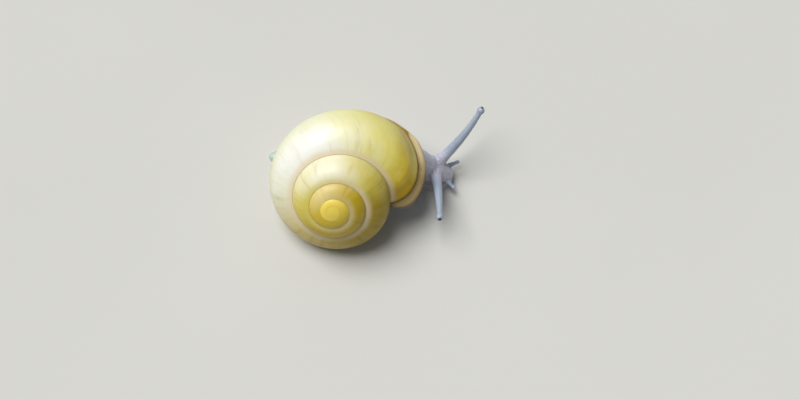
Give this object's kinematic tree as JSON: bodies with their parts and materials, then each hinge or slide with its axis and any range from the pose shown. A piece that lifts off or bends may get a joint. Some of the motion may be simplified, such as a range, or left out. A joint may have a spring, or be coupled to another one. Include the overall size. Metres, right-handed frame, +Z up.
{
  "type": "white-lipped garden snail",
  "caption": "Still, life-size crawling garden snail with a plain yellow spiral shell, its body and feelers stretched out.",
  "frame": {"origin": "on the flat sole of the foot, under the shell, at floor level", "axes": "+X forwards along the crawling direction, +Y to the snail's left, +Z up from the floor"},
  "size_m": [0.0277, 0.019, 0.0132],
  "materials": {
    "shell_yellow": "pale lemon-yellow shell, deeper yellow towards the apex, with fine growth lines and a soft gloss",
    "lip_cream": "cream lip of the shell's mouth with a tan rim, satin",
    "flesh_grey": "moist lavender-grey skin with fine warts and grooves",
    "mantle_grey": "smooth moist mantle collar, grey to cream",
    "feeler_blue_grey": "translucent blue-grey feeler, moist",
    "eye_dark": "small dark glossy eye"
  },
  "bodies": {
    "root": {"shell": "shell_yellow", "shell_lip": "lip_cream", "mantle_collar": "mantle_grey", "body_stalk": "flesh_grey", "neck": "flesh_grey", "head": "flesh_grey", "foot_front": "flesh_grey", "foot_middle": "flesh_grey", "foot_tail": "flesh_grey", "feeler_left_lower_length": "feeler_blue_grey", "feeler_left_upper_length": "feeler_blue_grey", "feeler_left_tip": "feeler_blue_grey", "feeler_right_lower_length": "feeler_blue_grey", "feeler_right_upper_length": "feeler_blue_grey", "feeler_right_tip": "feeler_blue_grey", "lower_feeler_left": "feeler_blue_grey", "lower_feeler_right": "feeler_blue_grey", "eye_left": "eye_dark", "eye_right": "eye_dark"}
  },
  "joints": []
}
